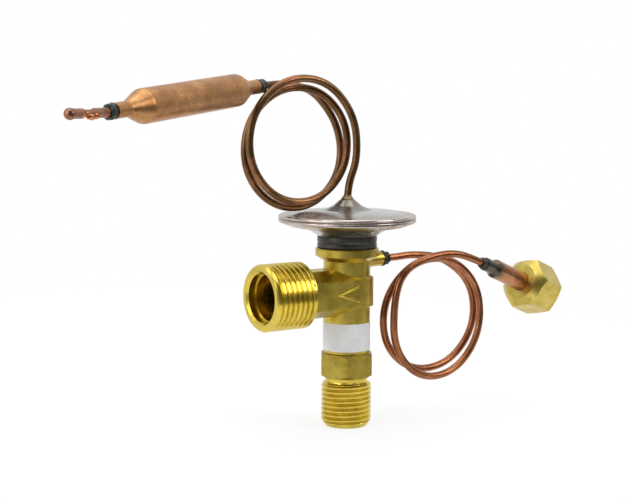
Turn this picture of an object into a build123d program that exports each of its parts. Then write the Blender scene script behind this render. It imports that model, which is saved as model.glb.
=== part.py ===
from build123d import *
import math
import os

os.makedirs("parts", exist_ok=True)

# Thermostatic expansion valve, angle pattern, millimetres.
# Origin: centre of the inlet end face.  +Z runs up the valve axis to the power head,
# the outlet points to -X and the equalizer connection to +X.

# Inlet fitting: male thread, hexagon and a screwed spigot
inlet_thread_d = 16.0          # M16 x 1.5
inlet_thread_len = 14.3
inlet_end_face_d = 13.3
inlet_end_taper = 1.9          # length of the chamfer at the inlet end
inlet_relief_d = 13.6
inlet_relief_len = 1.6
inlet_bore_d = 9.0
inlet_mouth_d = 11.4
inlet_mouth_depth = 2.6
inlet_mouth_cone = 1.0
thread_runout = 0.6
hex_across_flats = 16.0
hex_height = 8.0
hex_chamfer = 1.1
hex_turn = -124.0              # puts one hexagon edge to the front left
hex_face_inset = 0.35          # end faces of a hexagon stand in from its flats
spigot_d = 11.6
spigot_len = 6.4

# Valve body: column, centre block, outlet and top collar
column_d = 14.9
outlet_axis_above_hex = 19.5
block_half_width = 8.5         # centre block across its two side flats, halved
block_flat_half = 4.4          # half height of a side flat
block_half_height = 7.3
block_top_half_width = 3.5
collar_d = 20.2
collar_height = 2.5
collar_above_outlet = 13.9     # outlet axis to the top face of the collar
collar_cone = 1.6
outlet_thread_d = 20.955       # G 1/2
outlet_thread_len = 14.5
outlet_face_from_axis = 32.7
outlet_end_chamfer = 0.8
outlet_bore_d = 15.4
outlet_mouth_chamfer = 0.7
outlet_bore_depth = 3.2
outlet_step_d = 14.4
outlet_step_depth = 12.5
outlet_passage_d = 11.0
passage_past_axis = 4.4
arrow_length = 8.2
arrow_half_height = 2.4
arrow_width = 1.0
arrow_height = 0.4
arrow_sunk = 0.2               # root of the arrow inside the flat
arrow_tip_from_axis = 9.3

# Equalizer boss on the side of the body
boss_below_collar = 4.4        # boss axis below the top face of the collar
boss_root_d = 5.8
boss_end_d = 4.6
boss_reach = 13.5              # valve axis to the boss face
boss_socket_depth = 3.3
equalizer_hole_d = 1.6
edge_break = 0.3               # small chamfers of turned edges

# Inside the body
seat_d = 9.4
seat_height = 2.5
seat_lip = 0.4                 # body metal over the top of the seat
orifice_d = 3.8
orifice_flare = 0.8
ball_d = 5.0
carrier_d = 8.7
carrier_skirt = 2.1
carrier_flats = 6.6
carrier_below_ball = 0.9        # ball centre to the top of its cup
carrier_pilot_len = 2.0
carrier_pilot_gap = 0.3
ball_cup_gap = 0.02
rod_d = 2.4
rod_guide_clearance = 0.06
seal_section = 1.4
gland_roof = 2.3               # outlet passage to the top of the seal gland
retainer_bore_gap = 0.2
retainer_thickness = 0.6
chamber_d = 10.0
collar_socket_d = 14.0
collar_socket_depth = 3.7
gasket_thickness = 0.7
gasket_bore_d = 10.4
spring_wire_d = 0.9
spring_mean_d = 6.6
spring_turns = 5
spring_length = 9.1
washer_thickness = 1.0
washer_bore_d = 4.4
adjuster_height = 3.5
adjuster_socket = 4.0          # across the flats of its hexagon socket
strainer_rim = 1.5
strainer_length = 11.0
strainer_wall = 0.5
strainer_slots = 6
strainer_slot_width = 1.1
strainer_rim_lip = 0.7
strainer_tip_ratio = 0.45      # closed end over the rim
strainer_setback = 1.4         # rim above the floor of the inlet mouth
fit_gap = 0.06                 # radial clearance of sliding and screwed pieces
joint_gap = 0.02               # radial clearance of pressed and brazed pieces

# Power head
head_d = 43.7
head_collar_d = 19.0
head_collar_height = 3.8
head_collar_bore_d = 12.0
head_collar_edge = 0.4
shell_wall = 1.0
lower_case_height = 5.55       # head collar to the underside of the diaphragm
lower_case_outline = [(11.0, 1.1), (13.0, 2.3), (18.3, 3.1), (20.6, 4.0)]
lower_wall_slant = 0.35        # inner corners of the lower case stand in by this
lower_flange_width = 1.6
diaphragm_thickness = 0.2
rim_thickness = 1.1
rim_flange = 2.6               # flat width of the upper rim
dome_rise = 1.3
dome_knee = 3.5                # inner edge of the flange to the knee of the dome
dome_knee_rise = 0.6           # share of the rise at the knee
dome_lip = 0.6
nozzle_root_d = 15.2
nozzle_tip_d = 4.4
nozzle_height = 3.4
nozzle_waist = 0.5             # hollow of the nozzle side
nozzle_waist_height = 0.42     # share of the nozzle height
thrust_plate_d = 22.0
thrust_plate_thickness = 1.2
thrust_hub_d = 6.0
thrust_hub_len = 7.0
thrust_socket_depth = 3.0
thrust_plate_gap = 0.05        # below the diaphragm
thrust_edge = 0.6
head_braze_height = 1.3

# Label
label_thickness = 0.12
label_height = 8.9
label_above_hex = 0.8

# Capillary tube, its coil and the sensing bulb
tube_d = 2.4
tube_bore_d = 1.2
tube_socket_d = tube_d + 2 * joint_gap
capillary_socket = 1.9         # length of tube inside the head nozzle
fillet_room = 0.4              # nozzle bore past the end of the tube
coil_corners_per_turn = 8
coil_outside = 1 / 0.928                # corners stand outside the arcs between them
capillary_centre = (-16.4, 19.7)        # X, and Z above the nozzle tip
capillary_radius = (19.1, 18.8)         # in X and in Z
capillary_drift = (0.1, -2.4)           # of the centre, each turn
capillary_shrink = (-0.3, -0.4)         # of the radii, each turn
capillary_pitch = 3.5                   # towards +Y, each turn
capillary_first_angle = 20.0
capillary_corner_count = 17
capillary_lead = [(0.0, 0.0, 4.2), (4.0, 0.0, 12.8)]     # corners between the tip and the coil
capillary_exit = [(-6.8, 7.6, 33.6), (-15.8, 8.2, 36.2)]
bulb_run_in = 6.0                       # straight tube before the bulb
bulb_entry = (-29.7, 5.0, 35.4)         # from the nozzle tip
bulb_turn = 25.0                        # of the bulb axis, from -X towards -Y
bulb_drop = 5.3                         # of the bulb axis, below level
bulb_d = 9.8
bulb_length = 45.9
bulb_cone_length = 6.4
bulb_shoulder = 1.5                     # rounding where the cones start and end
bulb_socket = 3.0
bulb_neck_d = 4.4
bulb_neck_length = 4.8
bulb_braze_d = 4.7
bulb_braze_length = 4.2
fill_tube_d = 2.7
fill_tube_length = 15.3
fill_tube_drop = 0.3                    # of the filling tube, below level
fill_bead_d = 3.2
fill_bend = 0.8                         # from the braze to the bend
crimp_start = 3.5                       # bend to the near end of the pinch
crimp_length = 6.0
crimp_thickness = 1.9

# Equalizer line: coil, quarter inch stub and flare nut
equalizer_centre = (31.8, -19.0)        # X, and Z from the boss axis
equalizer_radius = (20.4, 17.75)
equalizer_drift = (0.0, -0.67)
equalizer_growth = (-0.9, 1.25)
equalizer_pitch = -4.4
equalizer_first_angle = 70.0
equalizer_corner_count = 15
equalizer_lead = (26.0, -0.3, 0.6)      # corners between the boss and the coil
equalizer_exit = [(15.6, -8.9, -3.6), (24.5, -9.3, 0.4), (36.0, -9.8, 1.5)]
stub_run_in = 5.5                       # straight tube before the stub
stub_entry = (49.4, -9.6, -3.2)         # from the boss axis
stub_turn = 10.0                        # of the stub axis, from +X towards +Y
stub_drop = 21.3
stub_d = 6.35
stub_wall = 0.8
stub_length = 20.8                      # stub end to the back of the nut
stub_socket = 3.0
stub_neck_d = 4.4                       # closed down on the equalizer tube
stub_neck_len = 4.2
stub_neck_cone = 1.4
flare_lip = 0.55
flare_d = 9.2
nut_across_flats = 15.875
nut_length = 12.6
nut_back_d = 12.0
nut_back_slope = 1.0
nut_thread_d = 11.1                     # 7/16-20
nut_minor_d = 9.9
nut_bore_gap = 0.12
nut_relief_len = 1.2
nut_relief_depth = 0.1
nut_front_chamfer = (0.2, 0.9)
nut_mouth_chamfer = 0.8
nut_back_wall = 2.6
braze_ring_d = 4.8
braze_ring_length = 2.3
braze_edge = 0.5
stub_braze_len = 2.2

# Heights worked out from the sizes above
hex_bottom = inlet_thread_len + inlet_relief_len
hex_top = hex_bottom + hex_height
outlet_z = hex_top + outlet_axis_above_hex
collar_top = outlet_z + collar_above_outlet
collar_bottom = collar_top - collar_height
boss_z = collar_top - boss_below_collar
passage_r = outlet_passage_d / 2
seat_top = outlet_z - passage_r - seat_lip
seat_bottom = seat_top - seat_height
ball_r = ball_d / 2
ball_z = seat_bottom - math.sqrt(ball_r**2 - (orifice_d / 2) ** 2)
carrier_top = ball_z - carrier_below_ball
carrier_bottom = carrier_top - carrier_skirt
spring_bottom = carrier_bottom - spring_length
washer_bottom = spring_bottom - washer_thickness
adjuster_bottom = washer_bottom - adjuster_height
gland_top = outlet_z + passage_r + gland_roof
gland_bottom = gland_top - seal_section
socket_floor = collar_top - collar_socket_depth
head_collar_top = collar_top + head_collar_height
diaphragm_z = head_collar_top + lower_case_height
rim_bottom = diaphragm_z + diaphragm_thickness
rim_top = rim_bottom + rim_thickness
nozzle_root = rim_top + dome_rise
nozzle_top = nozzle_root + nozzle_height
thrust_top = diaphragm_z - thrust_plate_gap
thrust_bottom = thrust_top - thrust_plate_thickness
hub_bottom = thrust_bottom - thrust_hub_len
rod_top = hub_bottom + thrust_socket_depth
rod_bottom = ball_z + ball_r


def disc(diameter, bottom, top):
    """Upright cylinder on the valve axis between two heights."""
    body = Cylinder(diameter / 2, top - bottom, align=(Align.CENTER, Align.CENTER, Align.MIN))
    return Pos(0, 0, bottom) * body


def turned(outline):
    """Solid of revolution about Z from (radius, height) corners."""
    wire = Polyline(*[(r, 0, z) for r, z in outline], close=True)
    return revolve(make_face(wire), axis=Axis.Z)


def side_disc(diameter, start, end, height):
    """Cylinder along X at a height on the valve, between two X values."""
    body = Cylinder(diameter / 2, end - start, align=(Align.CENTER, Align.CENTER, Align.MIN))
    return Pos(start, 0, height) * Rot(0, 90, 0) * body


def hexagon(across_flats, bottom, top, chamfer, turn=0.0):
    """Hexagonal prism with both ends chamfered by turning."""
    across_corners = across_flats / math.cos(math.radians(30))
    prism = extrude(Rot(0, 0, turn) * RegularPolygon(across_corners / 2, 6), top - bottom)
    edge_r = across_flats / 2 - hex_face_inset
    tool_r = across_corners / 2 + 0.1
    rise = (tool_r - edge_r) * math.tan(math.radians(30)) * chamfer
    barrel = turned([(0, bottom), (edge_r, bottom), (tool_r, bottom + rise),
                     (tool_r, top - rise), (edge_r, top), (0, top)])
    return Pos(0, 0, bottom) * prism & barrel


# ---------------------------------------------------------------- inlet side

def make_inlet_fitting():
    r = inlet_thread_d / 2
    neck_r = inlet_relief_d / 2
    shaft = turned([(0, 0), (inlet_end_face_d / 2, 0), (r, inlet_end_taper),
                    (r, inlet_thread_len - thread_runout), (neck_r, inlet_thread_len),
                    (neck_r, hex_bottom), (0, hex_bottom)])
    nut = hexagon(hex_across_flats, hex_bottom, hex_top, hex_chamfer, turn=hex_turn)
    spigot = disc(spigot_d, hex_top, hex_top + spigot_len)
    bore = disc(inlet_bore_d, -1, hex_top + spigot_len + 1)
    cone_end = inlet_mouth_depth + inlet_mouth_cone
    mouth = turned([(0, -1), (inlet_mouth_d / 2, -1), (inlet_mouth_d / 2, inlet_mouth_depth),
                    (inlet_bore_d / 2, cone_end), (0, cone_end)])
    return shaft + nut + spigot - bore - mouth



def make_inlet_strainer():
    rim_r = inlet_bore_d / 2 - fit_gap / 2
    base = inlet_mouth_depth + strainer_setback
    shoulder = base + strainer_rim
    top = base + strainer_length
    tip_r = rim_r * strainer_tip_ratio
    cone_r = rim_r - strainer_rim_lip
    wall = strainer_wall
    cup = turned([(rim_r, base), (rim_r, shoulder), (cone_r, shoulder), (tip_r, top), (0, top),
                  (0, top - wall), (tip_r - wall, top - wall), (cone_r - wall, shoulder),
                  (cone_r - wall, base)])
    slot_box = Box(rim_r * 2, strainer_slot_width, strainer_length / 2)
    slot = Pos(rim_r, 0, base + strainer_length * 0.52) * slot_box
    for index in range(strainer_slots):
        cup -= Rot(0, 0, index * 360 / strainer_slots) * slot
    return cup


def make_adjusting_nut():
    body = disc(inlet_bore_d - 2 * fit_gap, adjuster_bottom, washer_bottom)
    socket_r = adjuster_socket / 2 / math.cos(math.radians(30))
    socket = extrude(RegularPolygon(socket_r, 6), adjuster_height + 2)
    return body - Pos(0, 0, adjuster_bottom - 1) * socket


def make_spring_seat_washer():
    ring = disc(inlet_bore_d - 4 * fit_gap, washer_bottom, spring_bottom)
    return ring - disc(washer_bore_d, washer_bottom - 1, spring_bottom + 1)


def make_superheat_spring():
    per_turn = 6
    half_wire = spring_wire_d / 2
    rise = (spring_length - spring_wire_d) / spring_turns
    corner_r = spring_mean_d / 2 / 0.88
    corners = []
    for index in range(spring_turns * per_turn + 1):
        angle = math.radians(index * 360 / per_turn)
        height = spring_bottom + half_wire + rise * index / per_turn
        corners.append((corner_r * math.cos(angle), corner_r * math.sin(angle), height))
    return tube(corners, spring_wire_d)


def make_ball_carrier():
    r = carrier_d / 2
    pilot_r = (spring_mean_d - spring_wire_d) / 2 - carrier_pilot_gap
    pilot_bottom = carrier_bottom - carrier_pilot_len
    body = turned([(0, pilot_bottom), (pilot_r, pilot_bottom), (pilot_r, carrier_bottom),
                   (r, carrier_bottom), (r, carrier_top), (0, carrier_top)])
    apex = ball_z - (ball_r + ball_cup_gap) * math.sqrt(2)
    floor = ball_z - ball_r - 0.1
    rim = carrier_top + 0.01
    body -= turned([(0, floor), (floor - apex, floor), (rim - apex, rim), (0, rim)])
    keep = Rot(0, 0, 30) * RegularPolygon(carrier_flats / 2 / math.cos(math.radians(60)), 3)
    return body & Pos(0, 0, pilot_bottom) * extrude(keep, carrier_top - pilot_bottom)


def make_valve_ball():
    return Pos(0, 0, ball_z) * Sphere(ball_r)


def make_valve_seat():
    ring = disc(seat_d, seat_bottom, seat_top)
    hole = disc(orifice_d, seat_bottom - 1, seat_top + 1)
    flare = turned([(0, seat_top - orifice_flare), (orifice_d / 2, seat_top - orifice_flare),
                    (orifice_d / 2 + orifice_flare, seat_top), (0, seat_top)])
    return ring - hole - flare


# ------------------------------------------------------------------ the body

def block_profile():
    """Side view of the centre block: flats at the sides, sloping to a narrow top."""
    corners = [(block_half_width, block_flat_half), (block_top_half_width, block_half_height)]
    loop = corners + [(-y, z) for y, z in reversed(corners)]
    loop += [(-y, -z) for y, z in corners] + [(y, -z) for y, z in reversed(corners)]
    return loop


def make_centre_block():
    """Hexagon-sided neck to the outlet, turned round the column on the far side."""
    neck_start = outlet_thread_len - outlet_face_from_axis
    wire = Polyline(*[(neck_start, y, outlet_z + z) for y, z in block_profile()], close=True)
    neck = extrude(make_face(wire), amount=-neck_start, dir=(1, 0, 0))
    half = [(0, outlet_z - block_half_height), (block_top_half_width, outlet_z - block_half_height),
            (block_half_width, outlet_z - block_flat_half), (block_half_width, outlet_z + block_flat_half),
            (block_top_half_width, outlet_z + block_half_height), (0, outlet_z + block_half_height)]
    return neck + turned(half)


def make_flow_arrow():
    """Raised chevron on the front flat that points to the outlet."""
    tip = -arrow_tip_from_axis
    tail = tip + arrow_length
    slope = math.atan2(arrow_half_height, arrow_length)
    half = arrow_width / 2 / math.cos(slope)
    loop = [(tip - half * 1.5, 0), (tail, arrow_half_height + half), (tail, arrow_half_height - half),
            (tip + half * 2.5, 0), (tail, half - arrow_half_height), (tail, -half - arrow_half_height)]
    root = arrow_sunk - block_half_width
    wire = Polyline(*[(x, root, outlet_z + z) for x, z in loop], close=True)
    return extrude(make_face(wire), amount=arrow_height + arrow_sunk, dir=(0, -1, 0))


def make_outlet_thread():
    r = outlet_thread_d / 2
    face = -outlet_face_from_axis
    back = face + outlet_thread_len
    barrel = side_disc(outlet_thread_d, face, back, outlet_z)
    end = outlet_end_chamfer
    cone = turned([(r - 0.5, 0), (r + 1, 0), (r + 1, end + end), (r, end)])
    return barrel - Pos(face, 0, outlet_z) * Rot(0, 90, 0) * cone


def body_passages():
    """Everything that is drilled and bored out of the body."""
    face = -outlet_face_from_axis
    edge = outlet_mouth_chamfer
    bore_r = outlet_bore_d / 2
    mouth = turned([(0, -1), (bore_r + edge + 1, -1), (bore_r, edge), (0, edge)])
    spigot_floor = hex_top + spigot_len
    cuts = [
        Pos(face, 0, outlet_z) * Rot(0, 90, 0) * mouth,
        side_disc(outlet_bore_d, face - 1, face + outlet_bore_depth, outlet_z),
        side_disc(outlet_step_d, face, face + outlet_step_depth, outlet_z),
        side_disc(outlet_passage_d, face, passage_past_axis, outlet_z),
        disc(spigot_d + 2 * joint_gap, hex_top - 1, spigot_floor),
        disc(seat_d + 2 * joint_gap, spigot_floor - 1, seat_top),
        disc(orifice_d + 2 * orifice_flare, seat_top - 1, outlet_z),
        disc(rod_d + 2 * rod_guide_clearance, outlet_z, gland_top),
        disc(rod_d + 2 * seal_section, gland_bottom, gland_top),
        disc(chamber_d, gland_top, collar_top),
        disc(collar_socket_d, socket_floor, collar_top + 1),
        side_disc(equalizer_hole_d, chamber_d / 4, boss_reach, boss_z),
        side_disc(tube_socket_d, boss_reach - boss_socket_depth, boss_reach + 1, boss_z),
    ]
    return cuts


def make_valve_body():
    column_r = column_d / 2
    collar_r = collar_d / 2
    column = turned([(0, hex_top), (column_r, hex_top), (column_r, collar_bottom - collar_cone),
                     (collar_r, collar_bottom), (collar_r, collar_top - edge_break),
                     (collar_r - edge_break, collar_top), (0, collar_top)])
    boss_wire = Polyline((0, 0, 0), (boss_root_d / 2, 0, 0), (boss_end_d / 2, 0, boss_reach),
                         (0, 0, boss_reach), close=True)
    boss = Pos(0, 0, boss_z) * Rot(0, 90, 0) * revolve(make_face(boss_wire), axis=Axis.Z)
    body = column + make_centre_block() + make_outlet_thread() + boss + make_flow_arrow()
    for cut in body_passages():
        body -= cut
    return body


def make_push_rod():
    return disc(rod_d, rod_bottom, rod_top)


def make_rod_seal():
    ring = Torus(rod_d / 2 + seal_section / 2, seal_section / 2 - joint_gap)
    return Pos(0, 0, (gland_bottom + gland_top) / 2) * ring


def make_seal_retainer():
    plate = disc(chamber_d - fit_gap, gland_top, gland_top + retainer_thickness)
    return plate - disc(rod_d + 2 * retainer_bore_gap, gland_top - 1, gland_top + retainer_thickness + 1)


# ---------------------------------------------------------------- power head

def make_head_gasket():
    top = socket_floor + gasket_thickness
    ring = disc(collar_socket_d - 2 * fit_gap, socket_floor, top)
    return ring - disc(gasket_bore_d, socket_floor - 1, top + 1)


def make_head_collar():
    bottom = socket_floor + gasket_thickness
    r = head_collar_d / 2
    socket_r = collar_socket_d / 2 - fit_gap / 2
    ring = turned([(0, bottom), (socket_r, bottom), (socket_r, collar_top), (r - head_collar_edge, collar_top),
                   (r, collar_top + head_collar_edge), (r, head_collar_top), (0, head_collar_top)])
    return ring - disc(head_collar_bore_d, bottom - 1, head_collar_top + 1)


def make_lower_case():
    base = head_collar_top
    rim_r = head_d / 2
    lip_r = head_collar_bore_d / 2
    neck_r = head_collar_d / 2
    outer = [(neck_r, base)] + [(r, base + z) for r, z in lower_case_outline]
    flange = diaphragm_z - rim_thickness
    inner = [(r - lower_wall_slant, z + shell_wall) for r, z in reversed(outer[:-1])]
    outline = [(lip_r, base)] + outer
    outline += [(rim_r - edge_break, flange), (rim_r, flange + edge_break), (rim_r, diaphragm_z),
                (outer[-1][0] - lower_flange_width, diaphragm_z)]
    outline += inner + [(lip_r, base + shell_wall)]
    return turned(outline)


def make_diaphragm():
    return disc(head_d - 0.4, diaphragm_z, rim_bottom)


def make_upper_case():
    rim_r = head_d / 2
    flange_r = rim_r - rim_flange
    root_r = nozzle_root_d / 2
    tip_r = nozzle_tip_d / 2
    bore_r = tube_socket_d / 2
    wall = shell_wall
    knee_r = flange_r - dome_knee
    knee = rim_top + dome_rise * dome_knee_rise
    waist_r = (root_r + tip_r) / 2 - nozzle_waist
    waist = nozzle_root + nozzle_height * nozzle_waist_height
    return turned([
        (rim_r, rim_bottom), (rim_r, rim_top - edge_break), (rim_r - edge_break, rim_top),
        (flange_r, rim_top), (knee_r, knee), (root_r, nozzle_root), (waist_r, waist),
        (tip_r, nozzle_top), (bore_r, nozzle_top), (bore_r, nozzle_top - capillary_socket - fillet_room),
        (waist_r - wall, waist - wall * 0.6), (root_r - nozzle_waist, nozzle_root - wall),
        (knee_r - edge_break, knee - wall), (flange_r - dome_lip, rim_bottom)])


def make_thrust_plate():
    hub_r = thrust_hub_d / 2
    plate_r = thrust_plate_d / 2
    body = turned([(0, hub_bottom), (hub_r, hub_bottom), (hub_r, thrust_bottom),
                   (plate_r - thrust_edge, thrust_bottom), (plate_r, thrust_bottom + thrust_edge),
                   (plate_r, thrust_top), (0, thrust_top)])
    return body - disc(rod_d, hub_bottom - 1, rod_top)


def make_head_braze():
    r = tube_socket_d / 2
    tip_r = nozzle_tip_d / 2
    top = nozzle_top + head_braze_height
    return turned([(r, nozzle_top), (tip_r - 0.1, nozzle_top), (tip_r - 0.6, nozzle_top + 0.5),
                   (r + 0.3, top - 0.4), (r, top)])


def make_label():
    bottom = hex_top + label_above_hex
    top = bottom + label_height
    outside = column_d + 2 * label_thickness
    return disc(outside, bottom, top) - disc(column_d + joint_gap, bottom - 1, top + 1)


# --------------------------------------------------------------------- tubes

def axis_vector(turn, drop, side):
    """Unit vector along +X or -X, turned in plan and dropped below level."""
    flat = math.cos(math.radians(drop))
    along = side * flat * math.cos(math.radians(turn))
    across = side * flat * math.sin(math.radians(turn))
    return Vector(along, across, -math.sin(math.radians(drop)))


def corner_radii(corners):
    """Largest tangent arc that both runs of each corner allow."""
    points = [Vector(*corner) for corner in corners]
    radii = []
    for before, here, after in zip(points, points[1:], points[2:]):
        half_turn = math.radians((here - before).get_angle(after - here)) / 2
        shorter = min((here - before).length, (after - here).length)
        radii.append(0.45 * shorter / math.tan(half_turn))
    return radii


def tube_path(corners):
    """Straight runs joined by tangent arcs."""
    return FilletPolyline(*corners, radius=corner_radii(corners))


def tube(corners, diameter, bore=0.0):
    """Round tube, or solid wire, along a path of straight runs and tangent arcs."""
    path = tube_path(corners)
    section = Circle(diameter / 2)
    if bore:
        section -= Circle(bore / 2)
    start = Plane(origin=path @ 0, z_dir=path % 0)
    return sweep(start * section, path=path)


def coil(centre, radius, drift, growth, pitch, base, first_angle, count, hand):
    """Corners of a wound coil in the XZ plane; hand is 1 for anticlockwise seen from the front."""
    step = 360 / coil_corners_per_turn
    corners = []
    for index in range(count):
        turns = index / coil_corners_per_turn
        angle = math.radians(first_angle + hand * index * step)
        x = centre[0] + drift[0] * turns + (radius[0] + growth[0] * turns) * coil_outside * math.cos(angle)
        z = centre[1] + drift[1] * turns + (radius[1] + growth[1] * turns) * coil_outside * math.sin(angle)
        corners.append((x, base[0] + pitch * (turns + base[2]), base[1] + z))
    return corners


def raised(corner, height):
    """Corner given from a height, as a point of the part."""
    return (corner[0], corner[1], corner[2] + height)


def along(start, direction, distance):
    """Point at a distance from a start point along a direction."""
    point = Vector(*start) + direction * distance
    return (point.X, point.Y, point.Z)


bulb_axis = axis_vector(bulb_turn, bulb_drop, -1)
bulb_start = (bulb_entry[0], bulb_entry[1], nozzle_top + bulb_entry[2])
stub_axis = axis_vector(stub_turn, stub_drop, 1)
stub_start = (stub_entry[0], stub_entry[1], boss_z + stub_entry[2])


def capillary_corners():
    tip = nozzle_top
    corners = [(0, 0, tip - capillary_socket)] + [raised(corner, tip) for corner in capillary_lead]
    corners += coil(capillary_centre, capillary_radius, capillary_drift, capillary_shrink,
                    capillary_pitch, (0, tip, 0.1), capillary_first_angle, capillary_corner_count, 1)
    corners += [raised(corner, tip) for corner in capillary_exit]
    corners += [along(bulb_start, bulb_axis, -bulb_run_in),
                along(bulb_start, bulb_axis, bulb_braze_length / 2 + bulb_socket)]
    return corners


def equalizer_corners():
    z = boss_z
    corners = [(boss_reach - boss_socket_depth, 0, z), (boss_reach + 5.8, 0, z), raised(equalizer_lead, z)]
    corners += coil(equalizer_centre, equalizer_radius, equalizer_drift, equalizer_growth,
                    equalizer_pitch, (0, z, 0.1), equalizer_first_angle, equalizer_corner_count, -1)
    corners += [raised(corner, z) for corner in equalizer_exit]
    corners += [along(stub_start, stub_axis, -stub_run_in), along(stub_start, stub_axis, stub_socket)]
    return corners


def on_axis(start, direction, piece):
    """Piece drawn up the Z axis, laid along a direction from a start point."""
    return Plane(origin=start, z_dir=direction) * piece


def make_capillary_tube():
    return tube(capillary_corners(), tube_d, tube_bore_d)


def make_equalizer_tube():
    return tube(equalizer_corners(), tube_d, tube_bore_d)


def bulb_stations():
    """Distances along the bulb axis where its outline changes."""
    neck = bulb_braze_length / 2
    cone = neck + bulb_neck_length
    barrel = cone + bulb_cone_length
    barrel_end = barrel + bulb_length
    cone_end = barrel_end + bulb_cone_length
    return neck, cone, barrel, barrel_end, cone_end, cone_end + bulb_neck_length


def make_bulb_shell():
    neck, cone, barrel, barrel_end, cone_end, end = bulb_stations()
    r = bulb_d / 2
    neck_r = bulb_neck_d / 2
    wire = Polyline((0, 0, neck), (neck_r, 0, neck), (neck_r, 0, cone), (r, 0, barrel),
                    (r, 0, barrel_end), (neck_r, 0, cone_end), (neck_r, 0, end), (0, 0, end), close=True)
    shell = revolve(make_face(wire), axis=Axis.Z)
    rims = shell.edges().filter_by(GeomType.CIRCLE).filter_by_position(Axis.Z, neck + 0.1, end - 0.1)
    shell = fillet(rims, bulb_shoulder)
    drill = Cylinder(tube_socket_d / 2, bulb_socket + 1, align=(Align.CENTER, Align.CENTER, Align.MIN))
    return on_axis(bulb_start, bulb_axis, shell - Pos(0, 0, neck - 1) * drill)


def braze_ring(outer_d, inner_d, start, length):
    """Rounded ring of brazing metal round a tube, drawn up the Z axis."""
    r = outer_d / 2
    bore = inner_d / 2
    end = start + length
    edge = braze_edge
    return turned([(bore, start), (r - edge, start), (r, start + edge), (r, end - edge),
                   (r - edge, end), (bore, end)])


def make_bulb_braze():
    half = bulb_braze_length / 2
    return on_axis(bulb_start, bulb_axis, braze_ring(bulb_braze_d, tube_socket_d, -half, bulb_braze_length))


def make_fill_braze():
    end = bulb_stations()[-1]
    ring = braze_ring(bulb_braze_d, fill_tube_d + 2 * joint_gap, end, bulb_braze_length)
    return on_axis(bulb_start, bulb_axis, ring)


def make_fill_tube():
    """Closed filling tube: bent at the neck, pinched flat and sealed with a bead."""
    neck_end = along(bulb_start, bulb_axis, bulb_stations()[-1])
    bend = along(neck_end, bulb_axis, bulb_braze_length + fill_bend)
    direction = axis_vector(bulb_turn, fill_tube_drop, -1)
    bead_centre = along(bend, direction, fill_tube_length - fill_bead_d / 2)
    path = FilletPolyline(neck_end, bend, bead_centre, radius=3 * fill_tube_d)
    section = Plane(origin=path @ 0, z_dir=path % 0) * Circle(fill_tube_d / 2)
    stem = sweep(section, path=path)
    reach = fill_tube_d
    for sign in (-1, 1):
        jaw = Pos(0, sign * (crimp_thickness / 2 + reach / 2), crimp_start + crimp_length / 2)
        block = jaw * Box(3 * reach, reach, crimp_length)
        stem -= on_axis(bend, direction, chamfer(block.edges().filter_by(Axis.X), reach * 0.3))
    return stem + on_axis(bead_centre, direction, Sphere(fill_bead_d / 2))


def make_equalizer_braze():
    ring = braze_ring(braze_ring_d, tube_socket_d, 0, braze_ring_length)
    return Pos(boss_reach, 0, boss_z) * Rot(0, 90, 0) * ring


def make_stub():
    """Quarter inch tube: closed down on the capillary at one end, flared at the other."""
    r = stub_d / 2
    inner = r - stub_wall
    small = tube_socket_d / 2
    neck_r = stub_neck_d / 2
    cone_end = stub_neck_len + stub_neck_cone
    seat = stub_length + nut_back_wall
    flare_r = flare_d / 2
    flare_end = seat + flare_r - r
    return on_axis(stub_start, stub_axis, turned([
        (small, 0), (neck_r, 0), (neck_r, stub_neck_len), (r, cone_end), (r, seat),
        (flare_r, flare_end), (flare_r - flare_lip, flare_end + flare_lip),
        (inner, seat + stub_wall), (inner, cone_end + stub_wall), (small, stub_neck_len)]))


def make_stub_braze():
    small = tube_socket_d / 2
    neck_r = stub_neck_d / 2
    return on_axis(stub_start, stub_axis, turned([
        (small, -stub_braze_len), (small + 0.5, 0.2 - stub_braze_len), (neck_r - 0.3, -0.7),
        (neck_r - 0.1, 0), (small, 0)]))


def make_flare_nut():
    back = stub_length
    end = back + nut_length
    across_corners = nut_across_flats / math.cos(math.radians(30))
    prism = Pos(0, 0, back) * extrude(RegularPolygon(across_corners / 2, 6), nut_length)
    back_r = nut_back_d / 2
    corner_r = across_corners / 2 + 0.1
    face_r = nut_across_flats / 2 - nut_front_chamfer[0]
    barrel = turned([(0, back), (back_r, back), (corner_r, back + (corner_r - back_r) * nut_back_slope),
                     (corner_r, end - nut_front_chamfer[1]), (face_r, end), (0, end)])
    return on_axis(stub_start, stub_axis, (prism & barrel) - nut_bore(back, end))


def nut_bore(back, end):
    """Clearance for the tube, a seat behind its flare, a relief and the thread's minor bore."""
    hole_r = stub_d / 2 + nut_bore_gap
    seat = back + nut_back_wall - nut_bore_gap * 0.4
    seat_r = flare_d / 2 + nut_bore_gap
    relief_r = nut_thread_d / 2 + nut_relief_depth
    relief = seat + seat_r - hole_r
    thread_start = relief + nut_relief_len
    minor_r = nut_minor_d / 2
    mouth_r = minor_r + nut_mouth_chamfer
    return turned([(0, back - 1), (hole_r, back - 1), (hole_r, seat), (seat_r, relief),
                   (relief_r, relief), (relief_r, thread_start), (minor_r, thread_start),
                   (minor_r, end - nut_mouth_chamfer), (mouth_r, end), (mouth_r, end + 1),
                   (0, end + 1)])


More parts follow.
